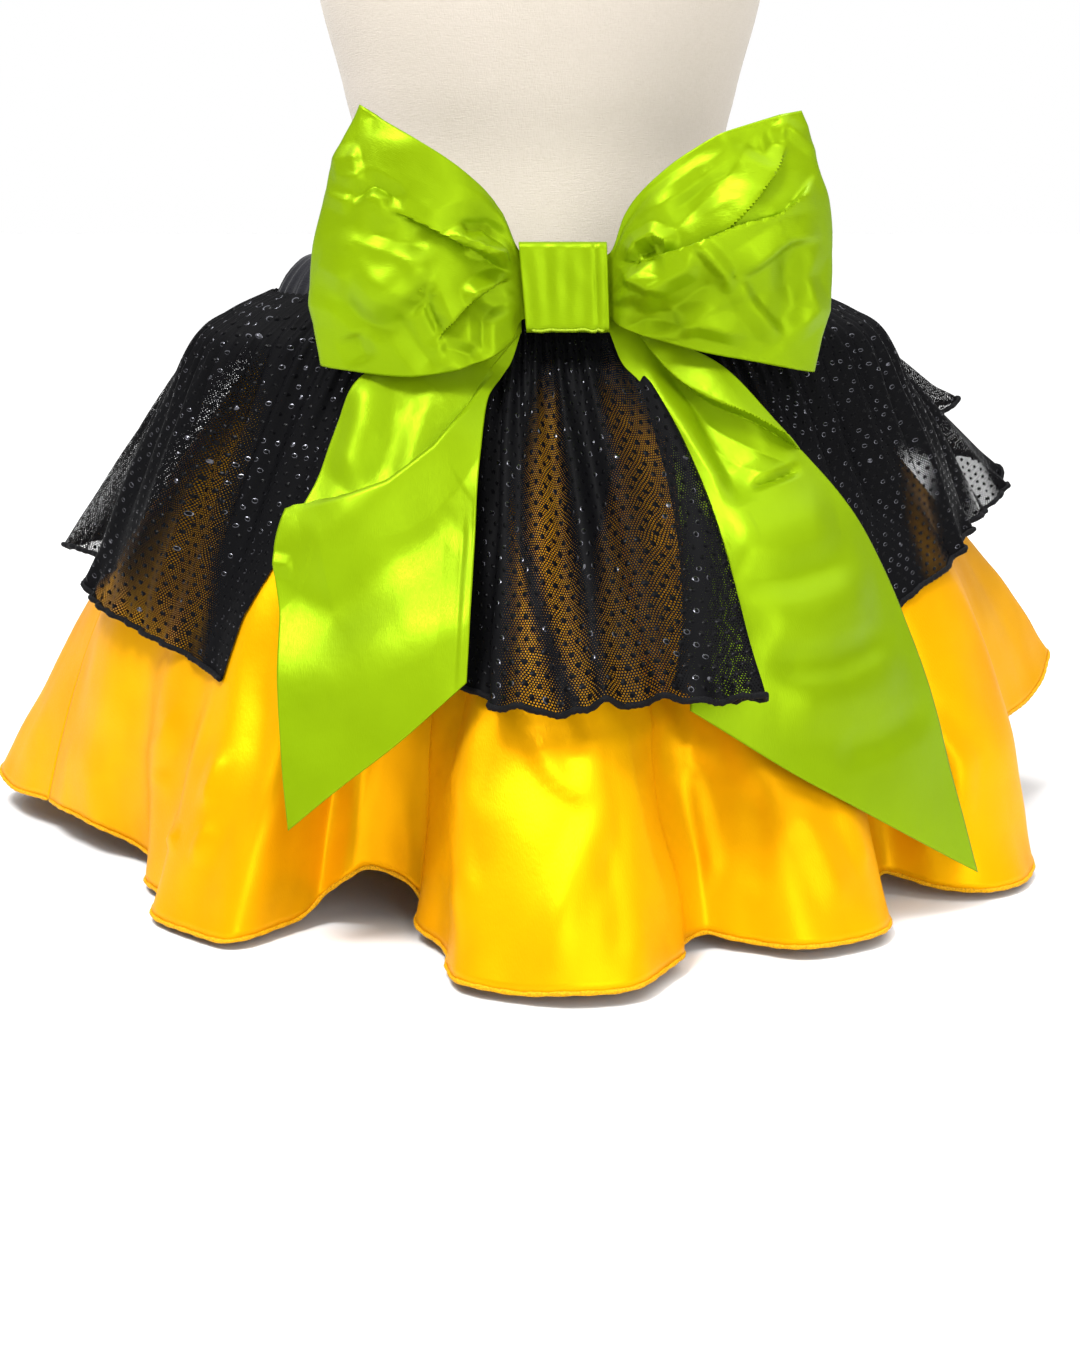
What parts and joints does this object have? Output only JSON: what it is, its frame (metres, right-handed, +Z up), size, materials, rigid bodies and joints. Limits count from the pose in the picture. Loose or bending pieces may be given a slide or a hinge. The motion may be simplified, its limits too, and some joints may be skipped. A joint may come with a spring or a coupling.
{
  "type": "tutu on dress form",
  "caption": "Satin circle skirt with a gathered dotted mesh overlay, ruched waistband and large satin bow with two tails, worn by a limbless dress form.",
  "frame": {"origin": "centre of the dress form's flat base", "axes": "+Z up along the form, -Y is the front with the bow, +X is the viewer's right"},
  "size_m": [0.7138, 0.7494, 0.845],
  "materials": {
    "form_cloth": "matt woven cloth over padding",
    "band_satin": "black satin, ruched",
    "skirt_satin": "glossy golden satin",
    "dotted_mesh": "sheer mesh with glossy raised dots",
    "bow_satin": "glossy lime satin"
  },
  "bodies": {
    "root": {"dress_form": "form_cloth", "waistband": "band_satin", "skirt_front": "skirt_satin", "skirt_back": "skirt_satin", "mesh_front": "dotted_mesh", "mesh_right": "dotted_mesh", "mesh_left": "dotted_mesh", "bow_knot": "bow_satin", "bow_loop_left": "bow_satin", "bow_loop_right": "bow_satin", "bow_tail_left": "bow_satin", "bow_tail_right": "bow_satin"}
  },
  "joints": []
}
